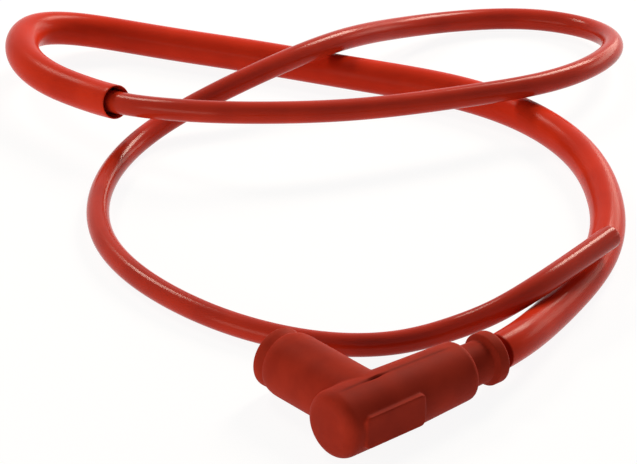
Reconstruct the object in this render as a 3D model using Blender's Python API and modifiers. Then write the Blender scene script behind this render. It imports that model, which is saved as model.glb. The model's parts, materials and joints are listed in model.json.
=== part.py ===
# Right-angle spark plug cap with its moulded-on ignition lead and protective sleeve.
# Run with: blender --background --python part.py
# The elbow's two axes cross at (0, 0, AXIS_HEIGHT) in the drawing frame: the body runs along +X to the
# lead, and the plug leg runs along +Y to its mouth. An empty then shifts the drawing so that the origin
# is at the bottom centre of the cap. Sizes are in millimetres and are multiplied by MM.

import math

import bmesh
import bpy
import numpy as np
from mathutils import Vector

MM = 0.001
MERGE = 0.00005
ROUND_SIDES = 36
SMALL_SIDES = 24
CLEARANCE = 0.3
CUT_OVERRUN = 1.0

# Elbow
AXIS_HEIGHT = 10.0
BODY_RADIUS = 10.0
BODY_END_RADIUS = 8.9
CLOSED_END = -16.0
CLOSED_END_ROUND = 3.8
CLOSED_END_CROWN = 0.4
TAPER_START = 4.0
BODY_MOUTH = 34.2
BODY_MOUTH_ROUND = 2.0
BODY_BORE_RADIUS = 6.2
BODY_BORE_END = -6.5
LEG_RADIUS = 9.8
LEG_END = 35.9
LEG_SHOULDER_RADIUS = 8.6
LEG_SHOULDER_LENGTH = 4.0
LEG_BORE_RADIUS = 7.7
SEAT_WEB = 0.6
THROAT_RADIUS = 5.0

# Raised plate on the side of the body
PLATE_START = -10.0
PLATE_END = 12.0
PLATE_HEIGHT = 10.0
PLATE_PROUD = 0.4
PLATE_CORNER = 1.2

# Rubber ring in the plug mouth
RIM_RADIUS = 9.0
RIM_LENGTH = 3.8
RIM_EDGE = 0.9
SEAL_BORE_RADIUS = 5.4
SEAL_SPIGOT_LENGTH = 6.0
SEAL_LEAD_IN = 0.7

# Rubber neck and bead around the lead
NECK_RADIUS = 6.4
NECK_LENGTH = 7.6
BEAD_RADIUS = 7.8
BEAD_LENGTH = 4.6
BEAD_ROUND = 1.6
NECK_SPIGOT_LENGTH = 6.0
RECESS_RADIUS = 6.0
RECESS_DEPTH = 4.0

# Insulating tubes inside the elbow
LEG_TUBE_BORE = 5.6
LEG_TUBE_FLOOR = 2.8
BODY_TUBE_BORE = 4.4
BODY_TUBE_START = 6.5

# Terminal that grips the plug
SHANK_RADIUS = 4.2
FLANGE_THICKNESS = 1.4
BARREL_LENGTH = 7.0
SOCKET_BORE_RADIUS = 3.3
SOCKET_BORE_DEPTH = 6.0
CLIP_WIRE = 0.76
CLIP_GAP_ANGLE = 50.0

# Contact block, spring and resistor, in line inside the body
BLOCK_SIZE = 8.4
BLOCK_EDGE = 0.8
SPRING_WIRE = 0.8
SPRING_RADIUS = 2.4
SPRING_LENGTH = 5.0
SPRING_TURNS = 4
END_CAP_RADIUS = 3.6
END_CAP_WALL = 0.4
END_CAP_DEPTH = 3.0
END_CAP_BASE = 0.6
RESISTOR_LENGTH = 9.2

# Screw that reaches into the core of the lead
SCREW_HEAD_RADIUS = 4.0
SCREW_HEAD_THICKNESS = 1.2
SCREW_RADIUS = 0.9
SCREW_LENGTH = 8.5
SCREW_POINT = 2.0

# Lead and sleeve
LEAD_DIAMETER = 7.0
LEAD_STEPS_INSIDE = 2
LEAD_STEPS_IN_SLEEVE = 30
LEAD_STEPS_BARE = 45
SLEEVE_DIAMETER = 10.8
SLEEVE_WALL = 0.8
SLEEVE_LENGTH = 430.0

# Route of the lead past the cap's mouth, chosen by eye along its centreline, in the drawing frame
LEAD_ROUTE = [
    (46, 0, 10), (55, 1.4, 9.7), (70, 6.8, 7.8), (90, 15.4, 6), (115, 27.6, 5.7),
    (132, 40.7, 5.7), (146, 57, 5.7), (159, 80, 5.7), (165, 112, 5.7), (160, 139, 5.7),
    (147, 166, 5.7), (128, 202, 5.7), (112, 229.7, 5.9), (103.1, 243.6, 6.6), (91.1, 251.5, 9.5),
    (78.3, 251.9, 12.6), (66.2, 243.4, 14.5), (59, 231.1, 15), (56.6, 216.7, 15), (58, 200.5, 15.4),
    (59.9, 186.8, 16.6), (64.5, 171.1, 18.8), (74, 155.8, 20.2), (89.7, 143.2, 19.6), (109.2, 132.6, 18.2),
    (145, 118.5, 16.6), (176, 111.5, 14.8), (202, 116, 12), (219, 128, 8.5), (226, 145, 5.2),
    (220, 164, 3.9), (203, 178, 4.1), (175, 182, 8.5), (142, 177, 15.4), (109, 177, 14.5),
    (77, 183, 6), (37, 165, 3.7), (13, 133, 3.8), (7, 91, 3.8), (14, 60, 3.8),
    (29.4, 37.5, 3.9), (41.2, 29.8, 4.3), (53.6, 23.8, 6.4), (63.1, 17.2, 11), (74.2, 14.3, 14.8),
    (91.8, 16.5, 16.1), (114.7, 22.1, 15.8),
]

# Places that follow from the sizes above
SEAL_FACE = LEG_END + CLEARANCE + RIM_LENGTH
NECK_START = BODY_MOUTH + CLEARANCE
CAP_END = NECK_START + NECK_LENGTH + BEAD_LENGTH
ORIGIN_X = (CLOSED_END + CAP_END) / 2
ORIGIN_Y = (SEAL_FACE - BODY_RADIUS - PLATE_PROUD) / 2
LEG_SEAT = BODY_BORE_RADIUS + SEAT_WEB
LEG_TUBE_RADIUS = LEG_BORE_RADIUS - CLEARANCE
LEG_TUBE_START = LEG_SEAT + CLEARANCE
SEAL_SPIGOT_START = LEG_END + CLEARANCE - SEAL_SPIGOT_LENGTH
LEG_TUBE_END = SEAL_SPIGOT_START - CLEARANCE
FLANGE_START = LEG_TUBE_START + LEG_TUBE_FLOOR + CLEARANCE
BARREL_START = FLANGE_START + FLANGE_THICKNESS
BARREL_END = BARREL_START + BARREL_LENGTH
BODY_TUBE_RADIUS = BODY_BORE_RADIUS - CLEARANCE
NECK_SPIGOT_START = NECK_START - NECK_SPIGOT_LENGTH
BODY_TUBE_END = NECK_SPIGOT_START - CLEARANCE
SPRING_START = BLOCK_SIZE / 2 + CLEARANCE
FIRST_CAP_START = SPRING_START + SPRING_LENGTH + CLEARANCE
RESISTOR_START = FIRST_CAP_START + END_CAP_BASE + CLEARANCE
SECOND_CAP_END = RESISTOR_START + RESISTOR_LENGTH + CLEARANCE + END_CAP_BASE
RESISTOR_RADIUS = END_CAP_RADIUS - END_CAP_WALL - CLEARANCE
SCREW_START = SECOND_CAP_END + CLEARANCE
LEAD_START = SCREW_START + SCREW_HEAD_THICKNESS + CLEARANCE
LEAD_BORE_RADIUS = LEAD_DIAMETER / 2 + CLEARANCE
SLEEVE_START = CAP_END - RECESS_DEPTH + CLEARANCE


def clear_scene():
    for item in list(bpy.data.objects):
        bpy.data.objects.remove(item, do_unlink=True)


def make_collection(name):
    collection = bpy.data.collections.new(name)
    bpy.context.scene.collection.children.link(collection)
    return collection


def make_material(name, colour, roughness, metallic=0.0):
    material = bpy.data.materials.new(name)
    material.use_nodes = True
    shader = material.node_tree.nodes["Principled BSDF"]
    shader.inputs["Base Color"].default_value = (*colour, 1.0)
    shader.inputs["Roughness"].default_value = roughness
    shader.inputs["Metallic"].default_value = metallic
    return material


def place(item, collection, material, frame):
    collection.objects.link(item)
    item.parent = frame
    if material:
        item.data.materials.append(material)
    return item


def as_cutter(item):
    item.hide_render = True
    item.display_type = "WIRE"
    return item


def shade_round(item):
    item.data.shade_smooth()
    item.data.set_sharp_from_angle(angle=math.radians(35))


def quarter_round(centre, radii, start, end, steps=5):
    """Points of an elliptical arc in a profile, as (radius, place along the axis)."""
    points = []
    for step in range(steps + 1):
        angle = math.radians(start + (end - start) * step / steps)
        points.append((centre[0] + radii[0] * math.cos(angle), centre[1] + radii[1] * math.sin(angle)))
    return points


def turned(name, profile, axis, closed=False, sides=ROUND_SIDES):
    """A solid of revolution about the body's axis (X) or the leg's axis (Y)."""
    mesh = bpy.data.meshes.new(name)
    shape = bmesh.new()
    verts = [shape.verts.new((radius * MM, 0.0, along * MM)) for radius, along in profile]
    for first, second in zip(verts, verts[1:]):
        shape.edges.new((first, second))
    if closed:
        shape.edges.new((verts[-1], verts[0]))
    shape.to_mesh(mesh)
    shape.free()
    item = bpy.data.objects.new(name, mesh)
    screw = item.modifiers.new("Turn", "SCREW")
    screw.steps = sides
    screw.render_steps = sides
    screw.use_merge_vertices = True
    screw.merge_threshold = MERGE
    screw.use_smooth_shade = True
    item.location = (0.0, 0.0, AXIS_HEIGHT * MM)
    if axis == "X":
        item.rotation_euler = (0.0, math.radians(90), 0.0)
    else:
        item.rotation_euler = (math.radians(-90), 0.0, 0.0)
    return item


def add_boolean(item, tool, operation):
    step = item.modifiers.new(operation.title() + " " + tool.name, "BOOLEAN")
    step.operation = operation
    step.solver = "EXACT"
    step.object = tool


def body_blank_profile():
    """Outline of the body from the lead's end to the closed end."""
    mouth_centre = (BODY_END_RADIUS - BODY_MOUTH_ROUND, BODY_MOUTH - BODY_MOUTH_ROUND)
    end_centre = (BODY_RADIUS - CLOSED_END_ROUND, CLOSED_END + CLOSED_END_CROWN + CLOSED_END_ROUND)
    profile = [(0.0, BODY_MOUTH)]
    profile += quarter_round(mouth_centre, (BODY_MOUTH_ROUND, BODY_MOUTH_ROUND), 90, 0)
    profile += [(BODY_RADIUS, TAPER_START)]
    profile += quarter_round(end_centre, (CLOSED_END_ROUND, CLOSED_END_ROUND), 0, -90, steps=6)
    profile += [(end_centre[0] / 2, CLOSED_END + CLOSED_END_CROWN / 4), (0.0, CLOSED_END)]
    return profile


def leg_blank_profile():
    """Outline of the plug leg from its shoulder down to the elbow's centre."""
    arc_centre = (LEG_SHOULDER_RADIUS, LEG_END - LEG_SHOULDER_LENGTH)
    arc_radii = (LEG_RADIUS - LEG_SHOULDER_RADIUS, LEG_SHOULDER_LENGTH)
    return [(0.0, LEG_END)] + quarter_round(arc_centre, arc_radii, 90, 0, 3) + [(LEG_RADIUS, 0.0), (0.0, 0.0)]


def make_plate_blank():
    """Plate with rounded corners whose face stands just proud of the body's side."""
    length = PLATE_END - PLATE_START
    depth = BODY_RADIUS - BODY_BORE_RADIUS
    mesh = bpy.data.meshes.new("plate_blank")
    shape = bmesh.new()
    bmesh.ops.create_cube(shape, size=1.0)
    bmesh.ops.scale(shape, vec=(length * MM, depth * MM, PLATE_HEIGHT * MM), verts=shape.verts)
    corners = [edge for edge in shape.edges if abs(edge.verts[0].co.y - edge.verts[1].co.y) > depth * MM / 2]
    bmesh.ops.bevel(shape, geom=corners, offset=PLATE_CORNER * MM, segments=4, profile=0.5,
                    affect="EDGES", material=-1)
    shape.to_mesh(mesh)
    shape.free()
    item = bpy.data.objects.new("plate_blank", mesh)
    item.location = (
        (PLATE_START + PLATE_END) / 2 * MM,
        -(BODY_RADIUS + PLATE_PROUD - depth / 2) * MM,
        AXIS_HEIGHT * MM,
    )
    return item


def make_cap_body(parts, tools, frame, material):
    body = place(turned("cap_body", body_blank_profile(), "X"), parts, material, frame)
    leg = turned("leg_blank", leg_blank_profile(), "Y")
    plate = make_plate_blank()
    body_bore = turned("body_bore", [
        (0.0, BODY_MOUTH + CUT_OVERRUN), (BODY_BORE_RADIUS, BODY_MOUTH + CUT_OVERRUN),
        (BODY_BORE_RADIUS, BODY_BORE_END), (0.0, BODY_BORE_END),
    ], "X")
    leg_bore = turned("leg_bore", [
        (0.0, LEG_END + CUT_OVERRUN), (LEG_BORE_RADIUS, LEG_END + CUT_OVERRUN), (LEG_BORE_RADIUS, LEG_SEAT),
        (THROAT_RADIUS, LEG_SEAT), (THROAT_RADIUS, 0.0), (0.0, 0.0),
    ], "Y")
    for tool in (leg, plate, body_bore, leg_bore):
        place(as_cutter(tool), tools, None, frame)
    add_boolean(body, leg, "UNION")
    add_boolean(body, plate, "UNION")
    add_boolean(body, body_bore, "DIFFERENCE")
    add_boolean(body, leg_bore, "DIFFERENCE")
    weld = body.modifiers.new("Close slivers", "WELD")
    weld.merge_threshold = MERGE


def make_plug_seal(parts, frame, material):
    """Soft ring that closes the mouth around the plug's insulator."""
    rim_start = LEG_END + CLEARANCE
    profile = [(SEAL_BORE_RADIUS + SEAL_LEAD_IN, SEAL_FACE), (RIM_RADIUS - RIM_EDGE, SEAL_FACE)]
    edge_centre = (RIM_RADIUS - RIM_EDGE, SEAL_FACE - RIM_EDGE)
    profile += quarter_round(edge_centre, (RIM_EDGE, RIM_EDGE), 90, 0, 3)[1:]
    profile += [
        (RIM_RADIUS, rim_start),
        (LEG_TUBE_RADIUS, rim_start),
        (LEG_TUBE_RADIUS, SEAL_SPIGOT_START),
        (SEAL_BORE_RADIUS, SEAL_SPIGOT_START),
        (SEAL_BORE_RADIUS, SEAL_FACE - SEAL_LEAD_IN),
    ]
    place(turned("plug_seal", profile, "Y", closed=True), parts, material, frame)


def make_cable_seal(parts, frame, material):
    """Neck and bead that hold the lead, with a recess for the end of the sleeve."""
    bead_start = NECK_START + NECK_LENGTH
    bead_middle = BEAD_RADIUS - BEAD_ROUND
    profile = [(RECESS_RADIUS, CAP_END)]
    profile += quarter_round((bead_middle, CAP_END - BEAD_ROUND), (BEAD_ROUND, BEAD_ROUND), 70, 0, 4)
    profile += quarter_round((bead_middle, bead_start + BEAD_ROUND), (BEAD_ROUND, BEAD_ROUND), 0, -68, 4)
    profile += [
        (NECK_RADIUS, bead_start),
        (NECK_RADIUS, NECK_START),
        (BODY_TUBE_RADIUS, NECK_START),
        (BODY_TUBE_RADIUS, NECK_SPIGOT_START),
        (LEAD_BORE_RADIUS, NECK_SPIGOT_START),
        (LEAD_BORE_RADIUS, CAP_END - RECESS_DEPTH),
        (RECESS_RADIUS, CAP_END - RECESS_DEPTH),
    ]
    place(turned("cable_seal", profile, "X", closed=True), parts, material, frame)


def make_insulators(parts, frame, material):
    leg_profile = [
        (LEG_TUBE_RADIUS, LEG_TUBE_END),
        (LEG_TUBE_RADIUS, LEG_TUBE_START),
        (SHANK_RADIUS + CLEARANCE, LEG_TUBE_START),
        (SHANK_RADIUS + CLEARANCE, LEG_TUBE_START + LEG_TUBE_FLOOR),
        (LEG_TUBE_BORE, LEG_TUBE_START + LEG_TUBE_FLOOR),
        (LEG_TUBE_BORE, LEG_TUBE_END),
    ]
    place(turned("leg_insulator", leg_profile, "Y", closed=True), parts, material, frame)
    body_profile = [
        (BODY_TUBE_RADIUS, BODY_TUBE_END),
        (BODY_TUBE_RADIUS, BODY_TUBE_START),
        (BODY_TUBE_BORE, BODY_TUBE_START),
        (BODY_TUBE_BORE, BODY_TUBE_END),
    ]
    place(turned("body_insulator", body_profile, "X", closed=True), parts, material, frame)


def make_terminal_socket(parts, frame, material):
    """Brass socket that pushes over the plug's terminal, with a flange on the insulator's floor."""
    profile = [
        (SOCKET_BORE_RADIUS, BARREL_END),
        (SHANK_RADIUS, BARREL_END),
        (SHANK_RADIUS, BARREL_START),
        (LEG_TUBE_BORE - CLEARANCE, BARREL_START),
        (LEG_TUBE_BORE - CLEARANCE, FLANGE_START),
        (SHANK_RADIUS, FLANGE_START),
        (SHANK_RADIUS, BLOCK_SIZE / 2 + CLEARANCE),
        (0.0, BLOCK_SIZE / 2 + CLEARANCE),
    ]
    inner = [(0.0, BARREL_END - SOCKET_BORE_DEPTH), (SOCKET_BORE_RADIUS, BARREL_END - SOCKET_BORE_DEPTH)]
    place(turned("terminal_socket", inner + profile, "Y"), parts, material, frame)


def make_wire(name, points, wire, parts, frame, material):
    curve = bpy.data.curves.new(name, "CURVE")
    curve.dimensions = "3D"
    curve.bevel_depth = wire / 2 * MM
    curve.bevel_resolution = 2
    curve.use_fill_caps = True
    spline = curve.splines.new("POLY")
    spline.points.add(len(points) - 1)
    for target, point in zip(spline.points, points):
        target.co = (point[0] * MM, point[1] * MM, point[2] * MM, 1.0)
    item = bpy.data.objects.new(name, curve)
    return place(item, parts, material, frame)


def make_terminal_clip(parts, frame, material):
    """Open spring ring around the socket's barrel."""
    radius = SHANK_RADIUS + CLEARANCE + CLIP_WIRE / 2
    middle = (BARREL_START + BARREL_END) / 2
    steps = 24
    points = []
    for step in range(steps + 1):
        angle = math.radians(CLIP_GAP_ANGLE / 2 + (360 - CLIP_GAP_ANGLE) * step / steps)
        points.append((radius * math.cos(angle), middle, AXIS_HEIGHT + radius * math.sin(angle)))
    make_wire("terminal_clip", points, CLIP_WIRE, parts, frame, material)


def make_contact_block(parts, frame, material):
    mesh = bpy.data.meshes.new("contact_block")
    shape = bmesh.new()
    bmesh.ops.create_cube(shape, size=BLOCK_SIZE * MM)
    shape.to_mesh(mesh)
    shape.free()
    item = place(bpy.data.objects.new("contact_block", mesh), parts, material, frame)
    item.location = (0.0, 0.0, AXIS_HEIGHT * MM)
    edge = item.modifiers.new("Edges", "BEVEL")
    edge.width = BLOCK_EDGE * MM
    edge.segments = 2


def make_contact_spring(parts, frame, material):
    steps_per_turn = 12
    steps = SPRING_TURNS * steps_per_turn
    first = SPRING_START + SPRING_WIRE / 2
    pitch = (SPRING_LENGTH - SPRING_WIRE) / SPRING_TURNS
    points = []
    for step in range(steps + 1):
        angle = math.tau * step / steps_per_turn
        along = first + pitch * step / steps_per_turn
        points.append((along, SPRING_RADIUS * math.cos(angle), AXIS_HEIGHT + SPRING_RADIUS * math.sin(angle)))
    make_wire("contact_spring", points, SPRING_WIRE, parts, frame, material)


def make_resistor(parts, frame, ceramic, metal):
    rod_end = RESISTOR_START + RESISTOR_LENGTH
    rod = [
        (0.0, rod_end), (RESISTOR_RADIUS, rod_end),
        (RESISTOR_RADIUS, RESISTOR_START), (0.0, RESISTOR_START),
    ]
    place(turned("resistor_rod", rod, "X", sides=SMALL_SIDES), parts, ceramic, frame)
    inner = END_CAP_RADIUS - END_CAP_WALL
    first = [
        (0.0, FIRST_CAP_START + END_CAP_BASE),
        (inner, FIRST_CAP_START + END_CAP_BASE),
        (inner, FIRST_CAP_START + END_CAP_DEPTH),
        (END_CAP_RADIUS, FIRST_CAP_START + END_CAP_DEPTH),
        (END_CAP_RADIUS, FIRST_CAP_START),
        (0.0, FIRST_CAP_START),
    ]
    second = [
        (0.0, SECOND_CAP_END),
        (END_CAP_RADIUS, SECOND_CAP_END),
        (END_CAP_RADIUS, SECOND_CAP_END - END_CAP_DEPTH),
        (inner, SECOND_CAP_END - END_CAP_DEPTH),
        (inner, SECOND_CAP_END - END_CAP_BASE),
        (0.0, SECOND_CAP_END - END_CAP_BASE),
    ]
    place(turned("resistor_cap_1", first, "X", sides=SMALL_SIDES), parts, metal, frame)
    place(turned("resistor_cap_2", second, "X", sides=SMALL_SIDES), parts, metal, frame)


def make_cable_screw(parts, frame, material):
    """Disc and pointed stud on which the lead is screwed."""
    stud_start = SCREW_START + SCREW_HEAD_THICKNESS
    profile = [
        (0.0, stud_start + SCREW_LENGTH),
        (SCREW_RADIUS, stud_start + SCREW_LENGTH - SCREW_POINT),
        (SCREW_RADIUS, stud_start),
        (SCREW_HEAD_RADIUS, stud_start),
        (SCREW_HEAD_RADIUS, SCREW_START),
        (0.0, SCREW_START),
    ]
    place(turned("cable_screw", profile, "X", sides=SMALL_SIDES), parts, material, frame)


def smooth_curve(route, steps=24):
    """Natural cubic spline through the route's points, with knots spaced by chord length."""
    points = np.array(route, dtype=float)
    chords = np.linalg.norm(np.diff(points, axis=0), axis=1)
    knots = np.concatenate(([0.0], np.cumsum(chords)))
    count = len(points)
    system = np.eye(count)
    target = np.zeros((count, 3))
    for row in range(1, count - 1):
        before, after = chords[row - 1], chords[row]
        system[row, row - 1:row + 2] = before, 2 * (before + after), after
        rise = (points[row + 1] - points[row]) / after - (points[row] - points[row - 1]) / before
        target[row] = 6 * rise
    bend = np.linalg.solve(system, target)
    dense = []
    for row in range(count - 1):
        width = knots[row + 1] - knots[row]
        for step in range(steps):
            second = step / steps
            first = 1 - second
            cubic = (first ** 3 - first) * bend[row] + (second ** 3 - second) * bend[row + 1]
            dense.append(first * points[row] + second * points[row + 1] + cubic * width ** 2 / 6)
    dense.append(points[-1])
    return np.array(dense)


def spaced(curve, start, end, steps):
    """Evenly spaced points of a dense curve between two distances along it."""
    along = np.concatenate(([0.0], np.cumsum(np.linalg.norm(np.diff(curve, axis=0), axis=1))))
    places = np.linspace(start, end, steps + 1)
    return np.stack([np.interp(places, along, curve[:, axis]) for axis in range(3)], axis=1)


def lead_points():
    """Centreline of the lead: inside the cap, inside the sleeve, and bare."""
    route = [(LEAD_START, 0, AXIS_HEIGHT), ((LEAD_START + LEAD_ROUTE[0][0]) / 2, 0, AXIS_HEIGHT)] + LEAD_ROUTE
    curve = smooth_curve(route)
    length = np.linalg.norm(np.diff(curve, axis=0), axis=1).sum()
    enter = SLEEVE_START - LEAD_START
    mouth = CAP_END - LEAD_START
    leave = enter + SLEEVE_LENGTH
    inside = spaced(curve, 0.0, enter, LEAD_STEPS_INSIDE)
    sleeved = np.vstack((inside[-1:], spaced(curve, mouth, leave, LEAD_STEPS_IN_SLEEVE)))
    bare = spaced(curve, leave, length, LEAD_STEPS_BARE)
    return inside, sleeved, bare


def tube_curve(name, points, diameter, capped):
    curve = bpy.data.curves.new(name, "CURVE")
    curve.dimensions = "3D"
    curve.bevel_depth = diameter / 2 * MM
    curve.bevel_resolution = 4
    curve.use_fill_caps = capped
    spline = curve.splines.new("POLY")
    spline.points.add(len(points) - 1)
    for target, point in zip(spline.points, points):
        target.co = (*(Vector(point) * MM), 1.0)
    return bpy.data.objects.new(name, curve)


def make_lead(parts, tools, frame, material, inside, sleeved, bare):
    """The whole lead as one tube, drilled at its inner end for the screw."""
    points = np.vstack((inside, sleeved[1:], bare[1:]))
    guide = place(tube_curve("lead_guide", points, LEAD_DIAMETER, True), tools, None, frame)
    bpy.context.view_layer.update()
    graph = bpy.context.evaluated_depsgraph_get()
    mesh = bpy.data.meshes.new_from_object(guide.evaluated_get(graph))
    bpy.data.objects.remove(guide, do_unlink=True)
    shape = bmesh.new()
    shape.from_mesh(mesh)
    bmesh.ops.remove_doubles(shape, verts=shape.verts, dist=MERGE)
    shape.to_mesh(mesh)
    shape.free()
    mesh.name = "lead"
    lead = place(bpy.data.objects.new("lead", mesh), parts, material, frame)
    bore_radius = SCREW_RADIUS + CLEARANCE
    bore_end = SCREW_START + SCREW_HEAD_THICKNESS + SCREW_LENGTH + CLEARANCE
    bore = turned("lead_bore", [
        (0.0, bore_end), (bore_radius, bore_end),
        (bore_radius, LEAD_START - CUT_OVERRUN), (0.0, LEAD_START - CUT_OVERRUN),
    ], "X", sides=SMALL_SIDES)
    place(as_cutter(bore), tools, None, frame)
    add_boolean(lead, bore, "DIFFERENCE")


def make_sleeve(parts, frame, material, sleeved):
    """Hollow sleeve whose outer surface is a tube and whose wall is turned inwards."""
    sleeve = place(tube_curve("protective_sleeve", sleeved, SLEEVE_DIAMETER, False), parts, material, frame)
    wall = sleeve.modifiers.new("Wall", "SOLIDIFY")
    wall.thickness = SLEEVE_WALL * MM
    wall.offset = -1.0


def build():
    clear_scene()
    parts = make_collection("spark_plug_cap")
    tools = make_collection("cutters")
    frame = bpy.data.objects.new("drawing_frame", None)
    frame.location = (-ORIGIN_X * MM, -ORIGIN_Y * MM, 0.0)
    parts.objects.link(frame)
    silicone = make_material("red_silicone", (0.26, 0.024, 0.015), 0.62)
    lead_jacket = make_material("gloss_red_silicone", (0.46, 0.02, 0.01), 0.22)
    sleeve_rubber = make_material("satin_red_sleeve", (0.44, 0.024, 0.013), 0.42)
    phenolic = make_material("brown_phenolic", (0.035, 0.016, 0.010), 0.45)
    ceramic = make_material("white_ceramic", (0.78, 0.76, 0.70), 0.35)
    brass = make_material("brass", (0.70, 0.47, 0.16), 0.30, 1.0)
    steel = make_material("spring_steel", (0.55, 0.55, 0.55), 0.28, 1.0)
    make_cap_body(parts, tools, frame, silicone)
    make_plug_seal(parts, frame, silicone)
    make_cable_seal(parts, frame, silicone)
    make_insulators(parts, frame, phenolic)
    make_terminal_socket(parts, frame, brass)
    make_terminal_clip(parts, frame, steel)
    make_contact_block(parts, frame, brass)
    make_contact_spring(parts, frame, steel)
    make_resistor(parts, frame, ceramic, brass)
    make_cable_screw(parts, frame, brass)
    inside, sleeved, bare = lead_points()
    make_lead(parts, tools, frame, lead_jacket, inside, sleeved, bare)
    make_sleeve(parts, frame, sleeve_rubber, sleeved)
    for item in parts.objects:
        if item.type == "MESH":
            shade_round(item)


build()
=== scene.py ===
# Looks of a right-angle spark plug cap in red silicone, with its ignition lead laid in loops beside it.
# Everything is in metres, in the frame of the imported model: the body runs along +X to the lead, and the
# plug leg runs along +Y to its mouth.
import json
import math

import bmesh
import bpy
import numpy as np
from mathutils import Matrix, Vector


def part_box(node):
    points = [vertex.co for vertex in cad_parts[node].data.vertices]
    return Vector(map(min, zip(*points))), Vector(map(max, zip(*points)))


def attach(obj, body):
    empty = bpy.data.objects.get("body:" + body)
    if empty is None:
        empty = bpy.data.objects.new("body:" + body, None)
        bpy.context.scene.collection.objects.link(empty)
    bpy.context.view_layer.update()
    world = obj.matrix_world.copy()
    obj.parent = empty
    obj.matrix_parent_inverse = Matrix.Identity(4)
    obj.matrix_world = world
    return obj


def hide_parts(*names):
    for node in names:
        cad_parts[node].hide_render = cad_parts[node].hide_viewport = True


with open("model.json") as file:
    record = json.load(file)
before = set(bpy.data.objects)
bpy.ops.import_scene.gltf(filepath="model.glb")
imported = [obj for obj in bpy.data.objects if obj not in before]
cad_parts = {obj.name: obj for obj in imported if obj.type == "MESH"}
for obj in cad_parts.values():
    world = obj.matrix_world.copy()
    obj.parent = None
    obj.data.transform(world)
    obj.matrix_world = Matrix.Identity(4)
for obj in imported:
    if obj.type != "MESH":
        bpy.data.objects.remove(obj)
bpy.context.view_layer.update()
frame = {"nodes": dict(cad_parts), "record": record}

MM = 0.001
MERGE = 0.00001
SHARP_ANGLE = math.radians(35)

# Camera
CAMERA_AZIMUTH = -41.0
CAMERA_ELEVATION = 27.8
CAMERA_DISTANCE = 1.361
CAMERA_AIM = (0.0711, 0.1035)
CAMERA_LENS = 253.4
SENSOR_WIDTH = 36.0

# Lead and sleeve
LEAD_DIAMETER = 7.0 * MM
LEAD_SIDES = 60
LEAD_EDGE = 0.3 * MM
SLEEVE_DIAMETER = 10.8 * MM
SLEEVE_WALL = 0.8 * MM
SLEEVE_LENGTH = 430.0 * MM
SLEEVE_SIDES = 60
SLEEVE_EDGE = 0.3 * MM
# Painted shadow: a dark, dull band on the sleeve just past the bead, where the bead shades it
BEAD_SHADOW_END = 3.2 * MM
BEAD_SHADOW_SOFTNESS = 0.8 * MM
SLEEVE_FLARE = 0.5 * MM
SLEEVE_FLARE_LENGTH = 3.0 * MM
SLEEVE_CUT_SLANT = 1.0 * MM
SLEEVE_DRIFT = 0.8 * MM
SLEEVE_DRIFT_LENGTH = 25.0 * MM
RING_STEP = 1.5 * MM
PATH_STEP = 0.5 * MM
CORE_HOLE = 0.72 * MM
CORE_RECESS = 0.25 * MM
CORE_HOLE_DEPTH = 2.0 * MM
CUT_FACE_RING = 2.1 * MM
STRAND_SPACING = 0.25 * MM
STRAND_RADIUS = 0.12 * MM
STRAND_LENGTH = 2.0 * MM
SCREW_HOLE = 1.2 * MM
SCREW_HOLE_DEPTH = 8.5 * MM

# Centreline of the lead past the cap, in millimetres: x and y from the elbow's centre, z from the surface
LEAD_ROUTE = [
    (46, 0, 10), (55, 1.4, 9.7), (70, 6.8, 7.8), (90, 15.4, 6),
    (115, 27.6, 5.7), (132, 40.7, 5.7), (146, 57, 5.7), (159, 80, 5.7),
    (165, 112, 5.7), (160, 139, 5.7), (147, 166, 5.7), (128, 202, 5.7),
    (112, 229.7, 5.9), (103.1, 243.6, 6.6), (91.1, 251.5, 9.5), (78.3, 251.9, 12.6),
    (66.2, 243.4, 14.5), (59, 231.1, 15), (56.6, 216.7, 15), (58, 200.5, 15.4),
    (59.9, 186.8, 16.6), (64.5, 171.1, 18.8), (74, 155.8, 20.2), (89.7, 143.2, 19.6),
    (109.2, 132.6, 18.2), (145, 118.5, 16.6), (176, 111.5, 14.8), (202, 116, 12),
    (219, 128, 8.5), (226, 145, 5.2), (220, 164, 3.9), (203, 178, 4.1),
    (175, 182, 8.5), (142, 177, 15.4), (109, 177, 14.5), (77, 183, 6),
    (37, 165, 3.7), (13, 133, 3.8), (7, 91, 3.8), (14, 60, 3.8),
    (29.4, 37.5, 3.9), (41.2, 29.8, 4.3), (53.6, 23.8, 6.4), (63.1, 17.2, 11),
    (74.2, 14.3, 14.8), (91.8, 16.5, 16.1), (114.7, 22.1, 15.8),
]

# Cap moulding
TURNED_STEPS = 128
BODY_END_RADIUS = 8.9 * MM
TAPER_START = 4.0 * MM
CLOSED_END_ROUND = 3.8 * MM
CLOSED_END_CROWN = 0.4 * MM
BODY_MOUTH_ROUND = 2.0 * MM
BODY_BORE_RADIUS = 6.2 * MM
BODY_BORE_END = -6.5 * MM
LEG_RADIUS = 9.8 * MM
LEG_SHOULDER_RADIUS = 8.6 * MM
LEG_SHOULDER_LENGTH = 4.0 * MM
LEG_BORE_RADIUS = 7.7 * MM
LEG_SEAT = 6.8 * MM
THROAT_RADIUS = 5.0 * MM
PLATE_START = -10.0 * MM
PLATE_END = 12.0 * MM
PLATE_HEIGHT = 10.0 * MM
PLATE_PROUD = 0.27 * MM
PLATE_CORNER = 1.7 * MM
PLATE_EDGE = 0.35 * MM
VOXEL = 0.33 * MM
CUT_OVERRUN = 1.0 * MM

# Parting line of the mould along the top of the body, with a crevice where the leg joins
TOP_OF_BODY = 5.0 * MM
PARTING_SIDE = -0.5 * MM
PARTING_DEPTH = 0.1 * MM
PARTING_WIDTH = 0.36 * MM
PARTING_STEP = 0.22 * MM
PARTING_FADE = 4.0 * MM
PARTING_END = 31.0 * MM
# Painted shade along the groove, as a share of the full dark painted in the crevice
PARTING_SHADE = 0.2
CREVICE_MIDDLE = 1.5 * MM
CREVICE_LENGTH = 2.8 * MM
CREVICE_DEPTH = 0.55 * MM

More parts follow.
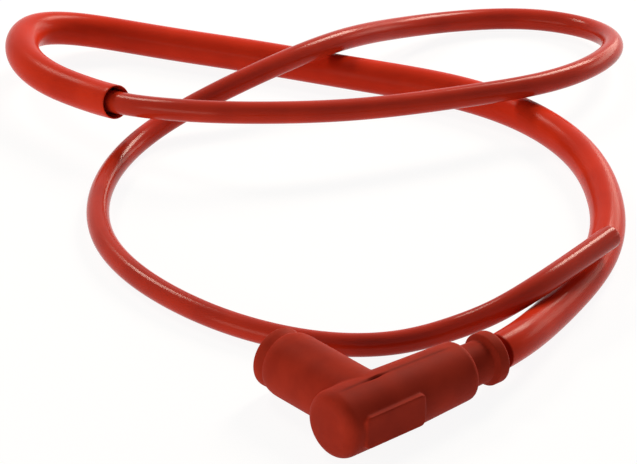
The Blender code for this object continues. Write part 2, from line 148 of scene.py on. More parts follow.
# Rubber ring, neck and bead
RIM_OVERLAP = 0.3 * MM
RIM_EDGE = 0.8 * MM
RIM_WAIST = 8.5 * MM
RIM_LIP = 1.3 * MM
SEAL_BORE_RADIUS = 5.4 * MM
SEAL_LEAD_IN = 0.7 * MM
NECK_RADIUS = 6.4 * MM
NECK_LENGTH = 7.6 * MM
BEAD_LENGTH = 4.6 * MM
BEAD_ROUND = 1.2 * MM
BEAD_GROOVE_RADIUS = 6.25 * MM
BEAD_GROOVE_START = -0.7 * MM
BEAD_GROOVE_END = 0.9 * MM
LEAD_BORE_RADIUS = 3.8 * MM
RECESS_RADIUS = 6.0 * MM
RECESS_DEPTH = 4.0 * MM

# Insulating tube and socket seen through the plug's mouth
LEG_TUBE_BORE = 5.6 * MM
LEG_TUBE_FLOOR = 2.8 * MM
SHANK_RADIUS = 4.2 * MM
SOCKET_BORE_RADIUS = 3.3 * MM
SOCKET_BORE_DEPTH = 6.0 * MM
FLANGE_THICKNESS = 1.4 * MM
BARREL_LENGTH = 7.0 * MM
CLEARANCE = 0.3 * MM

# The elbow's two axes cross here
ELBOW = Vector((
    sum(corner.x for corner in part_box("plug_seal")) / 2,
    sum(corner.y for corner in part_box("cable_seal")) / 2,
    sum(corner.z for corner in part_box("cable_seal")) / 2,
))
CAMERA_TARGET = Vector((ELBOW.x + CAMERA_AIM[0], ELBOW.y + CAMERA_AIM[1], 0.0))


def from_elbow(node):
    """Lowest and highest corner of a CAD node, measured from the elbow's centre."""
    low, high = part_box(node)
    return low - ELBOW, high - ELBOW


BODY_LOW, BODY_HIGH = from_elbow("cap_body")
SEAL_LOW, SEAL_HIGH = from_elbow("plug_seal")
BEAD_LOW, BEAD_HIGH = from_elbow("cable_seal")
LEG_TUBE_LOW, LEG_TUBE_HIGH = from_elbow("leg_insulator")
BODY_TUBE_RADIUS = from_elbow("body_insulator")[1].z
SOCKET_LOW, SOCKET_HIGH = from_elbow("terminal_socket")
SCREW_TIP = from_elbow("cable_screw")[1].x
LEAD_START = SCREW_TIP - SCREW_HOLE_DEPTH + CLEARANCE
SLEEVE_START = BEAD_HIGH.x - RECESS_DEPTH + CLEARANCE


# Node materials

def linear(hex_colour):
    """Linear colour of an sRGB hex value."""
    values = [int(hex_colour[place:place + 2], 16) / 255 for place in (1, 3, 5)]
    return tuple(v / 12.92 if v <= 0.04045 else ((v + 0.055) / 1.055) ** 2.4 for v in values) + (1.0,)


def add_node(tree, kind, inputs=None, **settings):
    """One node with its settings, and its sockets given a value or a link."""
    node = tree.nodes.new(kind)
    for name, value in settings.items():
        setattr(node, name, value)
    for name, value in (inputs or {}).items():
        if isinstance(value, bpy.types.NodeSocket):
            tree.links.new(value, node.inputs[name])
        else:
            node.inputs[name].default_value = value
    return node


def new_material(name):
    material = bpy.data.materials.new(name)
    material.use_nodes = True
    material.node_tree.nodes.clear()
    return material, material.node_tree


def finish_material(tree, shader):
    add_node(tree, "ShaderNodeOutputMaterial", {"Surface": shader.outputs[0]})


def moulded_silicone():
    """Matte silicone rubber from a spark-eroded mould: soft highlights and a fine grain, with painted shade
    in its colour along the mould's parting line and in the crevice where the leg joins, where a mesh
    attribute marks it."""
    material, tree = new_material("moulded_silicone")
    place = add_node(tree, "ShaderNodeTexCoord").outputs["Object"]
    mottle = add_node(tree, "ShaderNodeTexNoise", {"Vector": place, "Scale": 1 / (9 * MM), "Detail": 3.0})
    grain = add_node(tree, "ShaderNodeTexNoise", {"Vector": place, "Scale": 1 / (0.45 * MM), "Detail": 2.0})
    colour = add_node(tree, "ShaderNodeValToRGB", {"Fac": mottle.outputs["Fac"]})
    colour.color_ramp.elements[0].position = 0.35
    colour.color_ramp.elements[0].color = linear("#962A1B")
    colour.color_ramp.elements[1].position = 0.68
    colour.color_ramp.elements[1].color = linear("#A63120")
    # Painted shade: the colour goes dark along the parting groove and darkest in the crevice where the leg
    # joins
    painted_groove_shade = add_node(tree, "ShaderNodeAttribute", attribute_name="painted_groove_shade").outputs["Fac"]
    shaded = add_node(tree, "ShaderNodeMixRGB", {
        "Fac": painted_groove_shade, "Color1": colour.outputs["Color"], "Color2": linear("#4A0C06"),
    })
    gloss = add_node(tree, "ShaderNodeMapRange", {
        "Value": mottle.outputs["Fac"], "To Min": 0.5, "To Max": 0.66,
    })
    bump = add_node(tree, "ShaderNodeBump", {
        "Height": grain.outputs["Fac"], "Strength": 0.25, "Distance": 0.06 * MM,
    })
    shader = add_node(tree, "ShaderNodeBsdfPrincipled", {
        "Base Color": shaded.outputs["Color"], "Roughness": gloss.outputs["Result"], "IOR": 1.43,
        "Specular IOR Level": 0.045, "Normal": bump.outputs["Normal"],
    })
    finish_material(tree, shader)
    return material


def extruded_silicone(name, dark, light, roughness, shine, streak_strength):
    """Extruded silicone: smooth skin with faint lines drawn along its length, and a painted shadow, dark and
    without gloss, where a mesh attribute marks the stretch of sleeve just past the bead that the bead
    shades."""
    material, tree = new_material(name)
    straight = add_node(tree, "ShaderNodeAttribute", attribute_name="straight").outputs["Vector"]
    drawn = add_node(tree, "ShaderNodeMapping", {"Vector": straight, "Scale": (1.0, 1.0, 0.02)})
    streaks = add_node(tree, "ShaderNodeTexNoise", {
        "Vector": drawn.outputs["Vector"], "Scale": 1 / (0.9 * MM), "Detail": 2.0,
    })
    patches = add_node(tree, "ShaderNodeTexNoise", {
        "Vector": straight, "Scale": 1 / (14 * MM), "Detail": 2.0,
    })
    colour = add_node(tree, "ShaderNodeValToRGB", {"Fac": patches.outputs["Fac"]})
    colour.color_ramp.elements[0].position = 0.35
    colour.color_ramp.elements[0].color = linear(dark)
    colour.color_ramp.elements[1].position = 0.65
    colour.color_ramp.elements[1].color = linear(light)
    # Painted shadow: darker colour and no gloss on the sleeve just past the bead
    painted_bead_shadow = add_node(tree, "ShaderNodeAttribute", attribute_name="painted_bead_shadow").outputs["Fac"]
    bead_shadowed = add_node(tree, "ShaderNodeMixRGB", {
        "Fac": painted_bead_shadow, "Color1": colour.outputs["Color"], "Color2": linear("#7E1207"),
    })
    gloss = add_node(tree, "ShaderNodeMapRange", {
        "Value": patches.outputs["Fac"], "To Min": roughness * 0.85, "To Max": roughness * 1.2,
    })
    clear = add_node(tree, "ShaderNodeMapRange", {"Value": painted_bead_shadow, "To Min": shine, "To Max": 0.0})
    bump = add_node(tree, "ShaderNodeBump", {
        "Height": streaks.outputs["Fac"], "Strength": streak_strength, "Distance": 0.05 * MM,
    })
    shader = add_node(tree, "ShaderNodeBsdfPrincipled", {
        "Base Color": bead_shadowed.outputs["Color"], "Roughness": gloss.outputs["Result"], "IOR": 1.43,
        "Specular IOR Level": clear.outputs["Result"], "Normal": bump.outputs["Normal"],
    })
    finish_material(tree, shader)
    return material


def moulded_phenolic():
    """Dark brown phenolic resin: hard, slightly glossy, with a fine fleck from its filler."""
    material, tree = new_material("moulded_phenolic")
    place = add_node(tree, "ShaderNodeTexCoord").outputs["Object"]
    fleck = add_node(tree, "ShaderNodeTexNoise", {"Vector": place, "Scale": 1 / (0.6 * MM), "Detail": 3.0})
    colour = add_node(tree, "ShaderNodeValToRGB", {"Fac": fleck.outputs["Fac"]})
    colour.color_ramp.elements[0].color = linear("#22130C")
    colour.color_ramp.elements[1].color = linear("#402820")
    shader = add_node(tree, "ShaderNodeBsdfPrincipled", {
        "Base Color": colour.outputs["Color"], "Roughness": 0.38, "IOR": 1.6,
    })
    finish_material(tree, shader)
    return material


def turned_metal(name, dark, light, roughness):
    """Metal turned on a lathe: fine rings, brighter on their crests."""
    material, tree = new_material(name)
    place = add_node(tree, "ShaderNodeTexCoord").outputs["Object"]
    drawn = add_node(tree, "ShaderNodeMapping", {"Vector": place, "Scale": (0.08, 1.0, 0.08)})
    rings = add_node(tree, "ShaderNodeTexNoise", {
        "Vector": drawn.outputs["Vector"], "Scale": 1 / (0.25 * MM), "Detail": 2.0,
    })
    colour = add_node(tree, "ShaderNodeValToRGB", {"Fac": rings.outputs["Fac"]})
    colour.color_ramp.elements[0].color = linear(dark)
    colour.color_ramp.elements[1].color = linear(light)
    gloss = add_node(tree, "ShaderNodeMapRange", {
        "Value": rings.outputs["Fac"], "To Min": roughness * 0.8, "To Max": roughness * 1.3,
    })
    bump = add_node(tree, "ShaderNodeBump", {
        "Height": rings.outputs["Fac"], "Strength": 0.3, "Distance": 0.02 * MM,
    })
    shader = add_node(tree, "ShaderNodeBsdfPrincipled", {
        "Base Color": colour.outputs["Color"], "Roughness": gloss.outputs["Result"], "Metallic": 1.0,
        "Normal": bump.outputs["Normal"],
    })
    finish_material(tree, shader)
    return material


def fired_ceramic():
    """Unglazed white ceramic: even, chalky and barely glossy."""
    material, tree = new_material("fired_ceramic")
    place = add_node(tree, "ShaderNodeTexCoord").outputs["Object"]
    speck = add_node(tree, "ShaderNodeTexNoise", {"Vector": place, "Scale": 1 / (1.2 * MM), "Detail": 3.0})
    colour = add_node(tree, "ShaderNodeValToRGB", {"Fac": speck.outputs["Fac"]})
    colour.color_ramp.elements[0].color = linear("#D6D2C6")
    colour.color_ramp.elements[1].color = linear("#EFECE2")
    shader = add_node(tree, "ShaderNodeBsdfPrincipled", {
        "Base Color": colour.outputs["Color"], "Roughness": 0.45, "IOR": 1.7,
    })
    finish_material(tree, shader)
    return material


MATERIALS = {
    "cap_rubber": moulded_silicone(),
    "lead_jacket": extruded_silicone("glossy_silicone_jacket", "#AE2B18", "#BA301B", 0.19, 0.12, 0.02),
    "sleeve": extruded_silicone("satin_silicone_sleeve", "#C02E18", "#CC341C", 0.23, 0.055, 0.1),
    "insulator": moulded_phenolic(),
    "ceramic": fired_ceramic(),
    "brass": turned_metal("turned_brass", "#A8803C", "#D9B566", 0.3),
    "spring_steel": turned_metal("drawn_spring_wire", "#8C8C8A", "#C4C4C2", 0.3),
}
STRAND_METAL = turned_metal("tinned_copper_strand", "#9A6A4C", "#C99A7A", 0.35)


# Camera, floor and lamps

def view_direction(azimuth, elevation):
    """Unit vector from the object to a viewer or a lamp. Azimuth 0 stands on the -Y side."""
    turn, rise = math.radians(azimuth), math.radians(elevation)
    return Vector((math.sin(turn) * math.cos(rise), -math.cos(turn) * math.cos(rise), math.sin(rise)))


def make_camera():
    back = view_direction(CAMERA_AZIMUTH, CAMERA_ELEVATION)
    camera = bpy.data.objects.new("camera", bpy.data.cameras.new("camera"))
    camera.data.lens = CAMERA_LENS
    camera.data.sensor_width = SENSOR_WIDTH
    camera.location = CAMERA_TARGET + back * CAMERA_DISTANCE
    camera.rotation_euler = back.to_track_quat("Z", "Y").to_euler()
    bpy.context.scene.collection.objects.link(camera)
    bpy.context.scene.camera = camera


def seen_ray(tree):
    """1 for rays that see the background: from the camera, off a gloss or through glass."""
    rays = add_node(tree, "ShaderNodeLightPath")
    first = add_node(tree, "ShaderNodeMath", {
        0: rays.outputs["Is Camera Ray"], 1: rays.outputs["Is Glossy Ray"],
    }, operation="ADD")
    return add_node(tree, "ShaderNodeMath", {0: first.outputs[0], 1: rays.outputs["Is Transmission Ray"]},
                    operation="ADD", use_clamp=True).outputs[0]


def make_floor():
    """White card that shows only a faint shadow."""
    shape = bmesh.new()
    bmesh.ops.create_grid(shape, x_segments=1, y_segments=1, size=3.0)
    mesh = bpy.data.meshes.new("white_card")
    shape.to_mesh(mesh)
    shape.free()
    floor = bpy.data.objects.new("white_card", mesh)
    bpy.context.scene.collection.objects.link(floor)
    material, tree = new_material("white_card")
    card = add_node(tree, "ShaderNodeBsdfDiffuse", {"Color": linear("#F2F2F2")})
    glow = add_node(tree, "ShaderNodeEmission", {"Strength": 1.04})
    share = add_node(tree, "ShaderNodeMapRange", {"Value": seen_ray(tree), "To Min": 0.38, "To Max": 0.88})
    both = add_node(tree, "ShaderNodeMixShader", {
        "Fac": share.outputs["Result"], 1: card.outputs[0], 2: glow.outputs[0],
    })
    finish_material(tree, both)
    mesh.materials.append(material)


def make_softbox(name, azimuth, elevation, distance, width, height, power):
    """Warm white softbox that faces the object."""
    lamp = bpy.data.lights.new(name, "AREA")
    lamp.shape = "RECTANGLE"
    lamp.size = width
    lamp.size_y = height
    lamp.energy = power
    lamp.color = linear("#FFF0DE")[:3]
    softbox = bpy.data.objects.new(name, lamp)
    direction = view_direction(azimuth, elevation)
    softbox.location = CAMERA_TARGET + direction * distance
    softbox.rotation_euler = direction.to_track_quat("Z", "Y").to_euler()
    bpy.context.scene.collection.objects.link(softbox)


def make_lighting():
    world = bpy.data.worlds.new("white_room")
    bpy.context.scene.world = world
    world.use_nodes = True
    tree = world.node_tree
    tree.nodes.clear()
    room = add_node(tree, "ShaderNodeBackground", {"Color": linear("#FFFFFF"), "Strength": 0.05})
    backdrop = add_node(tree, "ShaderNodeBackground", {"Color": linear("#FFFFFF"), "Strength": 1.0})
    both = add_node(tree, "ShaderNodeMixShader", {
        "Fac": seen_ray(tree), 1: room.outputs[0], 2: backdrop.outputs[0],
    })
    add_node(tree, "ShaderNodeOutputWorld", {"Surface": both.outputs[0]})
    make_softbox("back_right_softbox", 108, 38, 1.2, 0.36, 0.45, 12.4)
    make_softbox("back_left_softbox", 181, 45, 1.2, 0.36, 0.26, 6.0)
    make_softbox("left_softbox", -84, 12, 1.1, 1.0, 0.42, 5.5)
    make_softbox("low_right_softbox", 95, 12, 1.1, 1.0, 0.3, 4.0)


# Cords

def smooth_curve(route, steps=24):
    """Natural cubic spline through the route's points, with knots spaced by chord length."""
    points = np.array(route, dtype=float)
    chords = np.linalg.norm(np.diff(points, axis=0), axis=1)
    knots = np.concatenate(([0.0], np.cumsum(chords)))
    count = len(points)
    system = np.eye(count)
    target = np.zeros((count, 3))
    for row in range(1, count - 1):
        before, after = chords[row - 1], chords[row]
        system[row, row - 1:row + 2] = before, 2 * (before + after), after
        turn = (points[row + 1] - points[row]) / after - (points[row] - points[row - 1]) / before
        target[row] = 6 * turn
    bend = np.linalg.solve(system, target)
    dense = []
    for row in range(count - 1):
        width = knots[row + 1] - knots[row]
        for step in range(steps):
            second = step / steps
            first = 1 - second
            cubic = (first ** 3 - first) * bend[row] + (second ** 3 - second) * bend[row + 1]
            dense.append(first * points[row] + second * points[row + 1] + cubic * width ** 2 / 6)
    dense.append(points[-1])
    return np.array(dense)


def evenly_spaced(curve, step):
    """Points of the curve a fixed distance apart, ending at its own end."""
    along = np.concatenate(([0.0], np.cumsum(np.linalg.norm(np.diff(curve, axis=0), axis=1))))
    places = np.linspace(0.0, along[-1], round(along[-1] / step) + 1)
    return np.stack([np.interp(places, along, curve[:, axis]) for axis in range(3)], axis=1), places[1]


def frames_along(points):
    """A frame at each point whose Z runs along the curve and which doesn't twist about it."""
    frames = []
    tangents = np.gradient(points, axis=0)
    side = Vector((0, 0, -1))
    for point, tangent in zip(points, tangents):
        along = Vector(tangent).normalized()
        side = (side - along * side.dot(along)).normalized()
        turn = Matrix((side, along.cross(side), along)).transposed().to_4x4()
        frames.append(Matrix.Translation(Vector(point)) @ turn)
    return frames


def lead_centreline():
    route = np.array(LEAD_ROUTE) * MM
    start = [(LEAD_START, 0, ELBOW.z), ((LEAD_START + route[0][0]) / 2, 0, ELBOW.z)]
    curve = smooth_curve(np.vstack((start, route))) + np.array((ELBOW.x, ELBOW.y, 0.0))
    return evenly_spaced(curve, PATH_STEP)


PATH, PATH_SPACING = lead_centreline()
PATH_FRAMES = frames_along(PATH)
LEAD_LENGTH = PATH_SPACING * (len(PATH) - 1)


def frame_at(distance):
    """Frame on the lead's centreline at a distance from its inner end."""
    index = min(max(int(distance / PATH_SPACING), 0), len(PATH_FRAMES) - 1)
    return PATH_FRAMES[index] @ Matrix.Translation((0, 0, distance - index * PATH_SPACING))


def sweep(outline, sides):
    """Rings along the lead's centreline, one for each (distance, radius). The attribute named straight
    holds each point's place on the unbent tube, which a pattern along the lead reads."""
    shape = bmesh.new()
    straight = shape.verts.layers.float_vector.new("straight")
    bmesh.ops.create_circle(shape, segments=sides, radius=outline[0][1])
    for vert in shape.verts:
        vert[straight] = (vert.co.x, vert.co.y, outline[0][0])
        vert.co = frame_at(outline[0][0]) @ Vector((vert.co.x, vert.co.y, 0.0))
    first_edges = list(shape.edges)
    edges = first_edges
    for distance, radius in outline[1:]:
        ring = bmesh.ops.extrude_edge_only(shape, edges=edges)["geom"]
        edges = [item for item in ring if isinstance(item, bmesh.types.BMEdge) and item.is_boundary]
        place = frame_at(distance)
        for vert in (item for item in ring if isinstance(item, bmesh.types.BMVert)):
            x, y, _ = vert[straight]
            scale = radius / math.hypot(x, y)
            vert[straight] = (x * scale, y * scale, distance)
            vert.co = place @ Vector((x * scale, y * scale, 0.0))
    return shape, first_edges, edges


def round_over(distance, radius, edge, steps=4):
    """Rings that round a tube's end from its side over a small edge radius."""
    rings = []
    for step in range(steps + 1):
        angle = math.pi / 2 * step / steps
        rings.append((distance - edge + edge * math.sin(angle), radius - edge * (1 - math.cos(angle))))
    return rings


def even_rings(start, end, radius):
    count = max(round(abs(end - start) / RING_STEP), 1)
    return [(start + (end - start) * step / count, radius) for step in range(count + 1)]


def add_piece(name, shape, material, slot_name, *nodes):
    """Turns a bmesh into a shaded piece that rides on the part and stands for CAD nodes."""
    mesh = bpy.data.meshes.new(name)
    shape.to_mesh(mesh)
    shape.free()
    mesh.shade_smooth()
    mesh.set_sharp_from_angle(angle=SHARP_ANGLE)
    mesh.materials.append(material)
    item = bpy.data.objects.new(name, mesh)
    bpy.context.scene.collection.objects.link(item)
    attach(item, "root")
    if nodes:
        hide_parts(*nodes)
    return item


def make_lead():
    """The whole lead: drilled for the cap's screw at one end, cut square at the other."""
    radius = LEAD_DIAMETER / 2
    outline = [(SCREW_HOLE_DEPTH, SCREW_HOLE), (0.0, SCREW_HOLE), (0.0, radius)]
    outline += even_rings(0.0, LEAD_LENGTH - LEAD_EDGE, radius)[1:]
    outline += round_over(LEAD_LENGTH, radius, LEAD_EDGE)[1:]
    outline += [(LEAD_LENGTH, CUT_FACE_RING), (LEAD_LENGTH, CORE_HOLE),
                (LEAD_LENGTH - CORE_HOLE_DEPTH, CORE_HOLE)]
    shape, first, last = sweep(outline, LEAD_SIDES)
    for ends in (first, last):
        bmesh.ops.edgeloop_fill(shape, edges=ends)
    bmesh.ops.recalc_face_normals(shape, faces=shape.faces)
    return add_piece("ignition_lead", shape, MATERIALS["lead_jacket"], "lead_jacket", "lead")


def make_core_strands():
    """Nineteen tinned copper strands, cut just below the face of the jacket."""
    shape = bmesh.new()
    face = frame_at(LEAD_LENGTH)
    for ring, count in ((0, 1), (1, 6), (2, 12)):
        for turn in range(count):
            angle = math.tau * (turn + 0.5 * (ring == 2)) / count
            aside = ring * STRAND_SPACING
            place = Vector((aside * math.cos(angle), aside * math.sin(angle),
                            -CORE_RECESS - STRAND_LENGTH / 2))
            bmesh.ops.create_cone(shape, cap_ends=True, segments=12, radius1=STRAND_RADIUS,
                                  radius2=STRAND_RADIUS, depth=STRAND_LENGTH,
                                  matrix=face @ Matrix.Translation(place))
    return add_piece("core_strands", shape, STRAND_METAL, "lead_jacket")


def lean_sleeve_end(shape, end):
    """Slants the hand-cut end of the sleeve towards the front and lets it hang off the lead, so that its
    mouth shows."""
    straight = shape.verts.layers.float_vector["straight"]
    turn = frame_at(end).to_3x3()
    front = turn.inverted() @ view_direction(CAMERA_AZIMUTH, CAMERA_ELEVATION)
    front = Vector((front.x, front.y, 0.0)).normalized()
    for vert in shape.verts:
        place = Vector(vert[straight])
        share = 1 - (end - place.z) / SLEEVE_DRIFT_LENGTH
        if share > 0:
            slant = SLEEVE_CUT_SLANT * front.dot(Vector((place.x, place.y, 0.0))) / (SLEEVE_DIAMETER / 2)
            vert.co += share * share * (turn @ (front * SLEEVE_DRIFT - Vector((0.0, 0.0, slant))))


def make_sleeve():
    """Hollow sleeve over the lead's first half, with softly rounded ends."""
    outer = SLEEVE_DIAMETER / 2
    inner = outer - SLEEVE_WALL
    start = SLEEVE_START - LEAD_START
    end = start + SLEEVE_LENGTH
    beyond_bead_shadow = BEAD_HIGH.x - LEAD_START + BEAD_SHADOW_END
    outline = [(start, outer), (beyond_bead_shadow - BEAD_SHADOW_SOFTNESS, outer)]
    outline += even_rings(beyond_bead_shadow, end - SLEEVE_EDGE, outer)
    outline += round_over(end, outer, SLEEVE_EDGE)[1:]
    outline += [(end, inner + SLEEVE_FLARE), (end - SLEEVE_FLARE_LENGTH, inner)]
    outline += even_rings(end - SLEEVE_FLARE_LENGTH, start, inner)[1:]
    shape, first, last = sweep(outline, SLEEVE_SIDES)
    lean_sleeve_end(shape, end)
    # Painted shadow: how strongly the bead's shadow is painted on each point of the sleeve
    painted_bead_shadow = shape.verts.layers.float.new("painted_bead_shadow")
    straight = shape.verts.layers.float_vector["straight"]
    for vert in shape.verts:
        past_bead = vert[straight][2] + LEAD_START - BEAD_HIGH.x
        vert[painted_bead_shadow] = min(max((BEAD_SHADOW_END - past_bead) / BEAD_SHADOW_SOFTNESS, 0.0), 1.0)
    bmesh.ops.bridge_loops(shape, edges=first + last)
    bmesh.ops.recalc_face_normals(shape, faces=shape.faces)
    return add_piece("sleeve_tube", shape, MATERIALS["sleeve"], "sleeve", "protective_sleeve")


# Turned and moulded pieces

def arc(radius, along, radii, start, end, steps=10):
    """Points of an elliptical arc in a profile, as (radius, place along the axis)."""
    points = []
    for step in range(steps + 1):
        angle = math.radians(start + (end - start) * step / steps)
        points.append((radius + radii[0] * math.cos(angle), along + radii[1] * math.sin(angle)))
    return points


def soft_step(first, last, steps=10):
    """Points of a profile that goes from one radius to another without a corner."""
    points = []
    for step in range(steps + 1):
        share = (1 - math.cos(math.pi * step / steps)) / 2
        along = first[1] + (last[1] - first[1]) * step / steps
        points.append((first[0] + (last[0] - first[0]) * share, along))
    return points


def turned(profile, axis, closed=False):
    """A solid of revolution about the body's axis (X) or the leg's axis (Y)."""
    shape = bmesh.new()
    verts = [shape.verts.new((radius, 0.0, along)) for radius, along in profile]
    for first, second in zip(verts, verts[1:]):
        shape.edges.new((first, second))
    if closed:
        shape.edges.new((verts[-1], verts[0]))
    bmesh.ops.spin(shape, geom=list(shape.verts) + list(shape.edges), cent=(0, 0, 0), axis=(0, 0, 1),
                   angle=math.tau, steps=TURNED_STEPS, use_merge=True)
    bmesh.ops.remove_doubles(shape, verts=shape.verts, dist=MERGE)
    turn = Matrix.Rotation(math.pi / 2, 4, "Y") if axis == "X" else Matrix.Rotation(-math.pi / 2, 4, "X")
    bmesh.ops.transform(shape, matrix=Matrix.Translation(ELBOW) @ turn, verts=shape.verts)
    bmesh.ops.recalc_face_normals(shape, faces=shape.faces)
    return shape


def tool(name, shape):
    """An object that another is joined with or cut by, and that is removed afterwards."""
    mesh = bpy.data.meshes.new(name)
    shape.to_mesh(mesh)
    shape.free()
    item = bpy.data.objects.new(name, mesh)
    bpy.context.scene.collection.objects.link(item)
    return item


def body_outline():
    end_round = CLOSED_END_ROUND
    radius = BODY_HIGH.z
    centre = radius - end_round
    outline = [(0.0, BODY_HIGH.x)]
    outline += arc(BODY_END_RADIUS - BODY_MOUTH_ROUND, BODY_HIGH.x - BODY_MOUTH_ROUND,
                   (BODY_MOUTH_ROUND, BODY_MOUTH_ROUND), 90, 0)
    outline += [(radius, TAPER_START)]
    outline += arc(centre, BODY_LOW.x + CLOSED_END_CROWN + end_round, (end_round, end_round), 0, -90, 14)
    outline += [(centre / 2, BODY_LOW.x + CLOSED_END_CROWN / 4), (0.0, BODY_LOW.x)]
    return outline


def leg_outline():
    radii = (LEG_RADIUS - LEG_SHOULDER_RADIUS, LEG_SHOULDER_LENGTH)
    return ([(0.0, BODY_HIGH.y)] + arc(LEG_SHOULDER_RADIUS, BODY_HIGH.y - LEG_SHOULDER_LENGTH, radii, 90, 0)
            + [(LEG_RADIUS, 0.0), (0.0, 0.0)])


def plate_shape():
    """Bare raised plate with round corners and a softened edge."""
    length = PLATE_END - PLATE_START
    depth = BODY_HIGH.z - BODY_BORE_RADIUS
    shape = bmesh.new()
    bmesh.ops.create_cube(shape, size=1.0)
    bmesh.ops.scale(shape, vec=(length, depth, PLATE_HEIGHT), verts=shape.verts)
    corners = [edge for edge in shape.edges if abs(edge.verts[0].co.y - edge.verts[1].co.y) > depth / 2]
    bmesh.ops.bevel(shape, geom=corners, offset=PLATE_CORNER, segments=8, profile=0.5, affect="EDGES",
                    material=-1)
    face = [edge for edge in shape.edges if all(vert.co.y < -depth * 0.49 for vert in edge.verts)]
    bmesh.ops.bevel(shape, geom=face, offset=PLATE_EDGE, segments=3, profile=0.5, affect="EDGES",
                    material=-1)
    middle = Vector(((PLATE_START + PLATE_END) / 2, -(BODY_HIGH.z + PLATE_PROUD - depth / 2), 0.0))
    bmesh.ops.translate(shape, vec=ELBOW + middle, verts=shape.verts)
    return shape


def press_parting_line(shape):
    """Fine groove along the top of the body, with the far half of the moulding standing slightly proud.
    A mesh attribute gives the finish painted shade: faint along the groove and full in the crevice where the
    leg joins."""
    painted_groove_shade = shape.verts.layers.float.new("painted_groove_shade")
    for vert in shape.verts:
        place = vert.co - ELBOW
        if place.z < TOP_OF_BODY or abs(place.y) > BODY_HIGH.z:
            continue
        along = min(place.x - BODY_LOW.x - CLOSED_END_ROUND, PARTING_END - place.x) / PARTING_FADE
        strength = min(max(along, 0.0), 1.0)
        crevice = math.exp(-((place.x - CREVICE_MIDDLE) / CREVICE_LENGTH) ** 2)
        aside = place.y - PARTING_SIDE
        groove = math.exp(-(aside / PARTING_WIDTH) ** 2)
        depth = (PARTING_DEPTH + (CREVICE_DEPTH - PARTING_DEPTH) * crevice) * groove
        step = PARTING_STEP * math.exp(-aside / PARTING_FADE) * (1 - groove) if aside > 0 else 0.0
        outward = Vector((0.0, place.y, place.z)).normalized()
        vert.co += outward * strength * (step - depth)
        # Painted shade: faint along the groove, full in the crevice where the leg joins
        vert[painted_groove_shade] = strength * groove * (PARTING_SHADE + (1 - PARTING_SHADE) * crevice)


def make_cap_moulding():
    """The elbow as one soft moulding: turned body and leg, joined, bored out and rounded together."""
    body = tool("body_blank", turned(body_outline(), "X"))
    leg = tool("leg_blank", turned(leg_outline(), "Y"))
    plate = tool("plate_blank", plate_shape())
    body_bore = tool("body_bore", turned([
        (0.0, BODY_HIGH.x + CUT_OVERRUN), (BODY_BORE_RADIUS, BODY_HIGH.x + CUT_OVERRUN),
        (BODY_BORE_RADIUS, BODY_BORE_END), (0.0, BODY_BORE_END),
    ], "X"))
    leg_bore = tool("leg_bore", turned([
        (0.0, BODY_HIGH.y + CUT_OVERRUN), (LEG_BORE_RADIUS, BODY_HIGH.y + CUT_OVERRUN),
        (LEG_BORE_RADIUS, LEG_SEAT), (THROAT_RADIUS, LEG_SEAT), (THROAT_RADIUS, 0.0), (0.0, 0.0),
    ], "Y"))
    for item, operation in ((leg, "UNION"), (plate, "UNION"), (body_bore, "DIFFERENCE"),
                            (leg_bore, "DIFFERENCE")):
        step = body.modifiers.new(item.name, "BOOLEAN")
        step.operation = operation
        step.solver = "EXACT"
        step.object = item
    remesh = body.modifiers.new("Soft skin", "REMESH")
    remesh.mode = "VOXEL"
    remesh.voxel_size = VOXEL
    smooth = body.modifiers.new("Even skin", "SMOOTH")
    smooth.factor = 0.5
    smooth.iterations = 3
    bpy.context.view_layer.update()
    graph = bpy.context.evaluated_depsgraph_get()
    shape = bmesh.new()
    shape.from_mesh(body.evaluated_get(graph).to_mesh())
    for item in (body, leg, plate, body_bore, leg_bore):
        bpy.data.objects.remove(item, do_unlink=True)
    press_parting_line(shape)
    return add_piece("cap_moulding", shape, MATERIALS["cap_rubber"], "cap_rubber", "cap_body")


def make_mouth_seal():
    """Soft ring that closes the plug's mouth."""
    rim_start = BODY_HIGH.y - RIM_OVERLAP
    rim_radius = SEAL_HIGH.z
    spigot = LEG_TUBE_HIGH.z
    lip = SEAL_HIGH.y - RIM_LIP
    profile = [(SEAL_BORE_RADIUS + SEAL_LEAD_IN, SEAL_HIGH.y)]
    profile += arc(rim_radius - RIM_EDGE, SEAL_HIGH.y - RIM_EDGE, (RIM_EDGE, RIM_EDGE), 90, 0)
    profile += soft_step((rim_radius, lip), (RIM_WAIST, rim_start))
    profile += [
        (spigot, rim_start), (spigot, SEAL_LOW.y), (SEAL_BORE_RADIUS, SEAL_LOW.y),
        (SEAL_BORE_RADIUS, SEAL_HIGH.y - SEAL_LEAD_IN),
    ]
    return add_piece("mouth_seal", turned(profile, "Y", closed=True), MATERIALS["cap_rubber"], "cap_rubber",
                     "plug_seal")


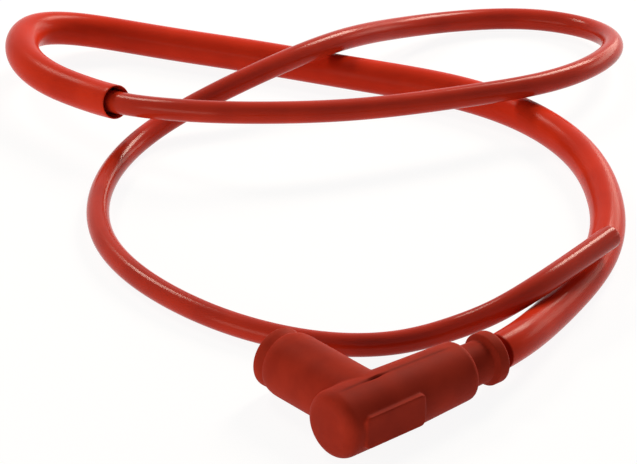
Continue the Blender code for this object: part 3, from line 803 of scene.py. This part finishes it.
def make_lead_bead():
    """Neck and bead that grip the lead, with a recess for the end of the sleeve."""
    end = BEAD_HIGH.x
    bead_start = end - BEAD_LENGTH
    neck_start = bead_start - NECK_LENGTH
    middle = BEAD_HIGH.z - BEAD_ROUND
    spigot = BODY_TUBE_RADIUS
    profile = [(RECESS_RADIUS, end)]
    profile += arc(middle, end - BEAD_ROUND, (BEAD_ROUND, BEAD_ROUND), 90, 0)
    profile += soft_step((BEAD_HIGH.z, bead_start + BEAD_GROOVE_END),
                         (BEAD_GROOVE_RADIUS, bead_start + BEAD_GROOVE_START))
    profile += [
        (NECK_RADIUS, neck_start), (spigot, neck_start), (spigot, BEAD_LOW.x),
        (LEAD_BORE_RADIUS, BEAD_LOW.x), (LEAD_BORE_RADIUS, end - RECESS_DEPTH),
        (RECESS_RADIUS, end - RECESS_DEPTH),
    ]
    return add_piece("lead_bead", turned(profile, "X", closed=True), MATERIALS["cap_rubber"], "cap_rubber",
                     "cable_seal")


def make_leg_tube():
    """Phenolic tube round the plug's insulator."""
    radius = LEG_TUBE_HIGH.z
    floor = LEG_TUBE_LOW.y + LEG_TUBE_FLOOR
    profile = [
        (radius, LEG_TUBE_HIGH.y), (radius, LEG_TUBE_LOW.y), (SHANK_RADIUS + CLEARANCE, LEG_TUBE_LOW.y),
        (SHANK_RADIUS + CLEARANCE, floor), (LEG_TUBE_BORE, floor), (LEG_TUBE_BORE, LEG_TUBE_HIGH.y),
    ]
    return add_piece("leg_tube", turned(profile, "Y", closed=True), MATERIALS["insulator"], "insulator",
                     "leg_insulator")


def make_brass_socket():
    """Turned socket with a flange that sits on the tube's floor."""
    top = SOCKET_HIGH.y
    barrel_start = top - BARREL_LENGTH
    flange = LEG_TUBE_BORE - CLEARANCE
    profile = [
        (0.0, top - SOCKET_BORE_DEPTH), (SOCKET_BORE_RADIUS, top - SOCKET_BORE_DEPTH),
        (SOCKET_BORE_RADIUS, top), (SHANK_RADIUS, top), (SHANK_RADIUS, barrel_start), (flange, barrel_start),
        (flange, barrel_start - FLANGE_THICKNESS), (SHANK_RADIUS, barrel_start - FLANGE_THICKNESS),
        (SHANK_RADIUS, SOCKET_LOW.y), (0.0, SOCKET_LOW.y),
    ]
    return add_piece("brass_socket", turned(profile, "Y"), MATERIALS["brass"], "brass", "terminal_socket")


def dress_inner_nodes():
    """Gives every CAD node the finish of its slot."""
    for row in frame["record"]["subparts"]:
        node = frame["nodes"][row["node"]]
        for place in node.material_slots:
            place.material = MATERIALS[row["material_slot"]]


def main():
    bpy.context.scene.view_settings.view_transform = "Standard"
    make_camera()
    lead = make_lead()
    sleeve = make_sleeve()
    strands = make_core_strands()
    make_cap_moulding()
    make_mouth_seal()
    make_lead_bead()
    make_leg_tube()
    make_brass_socket()
    dress_inner_nodes()
    make_floor()
    make_lighting()


main()
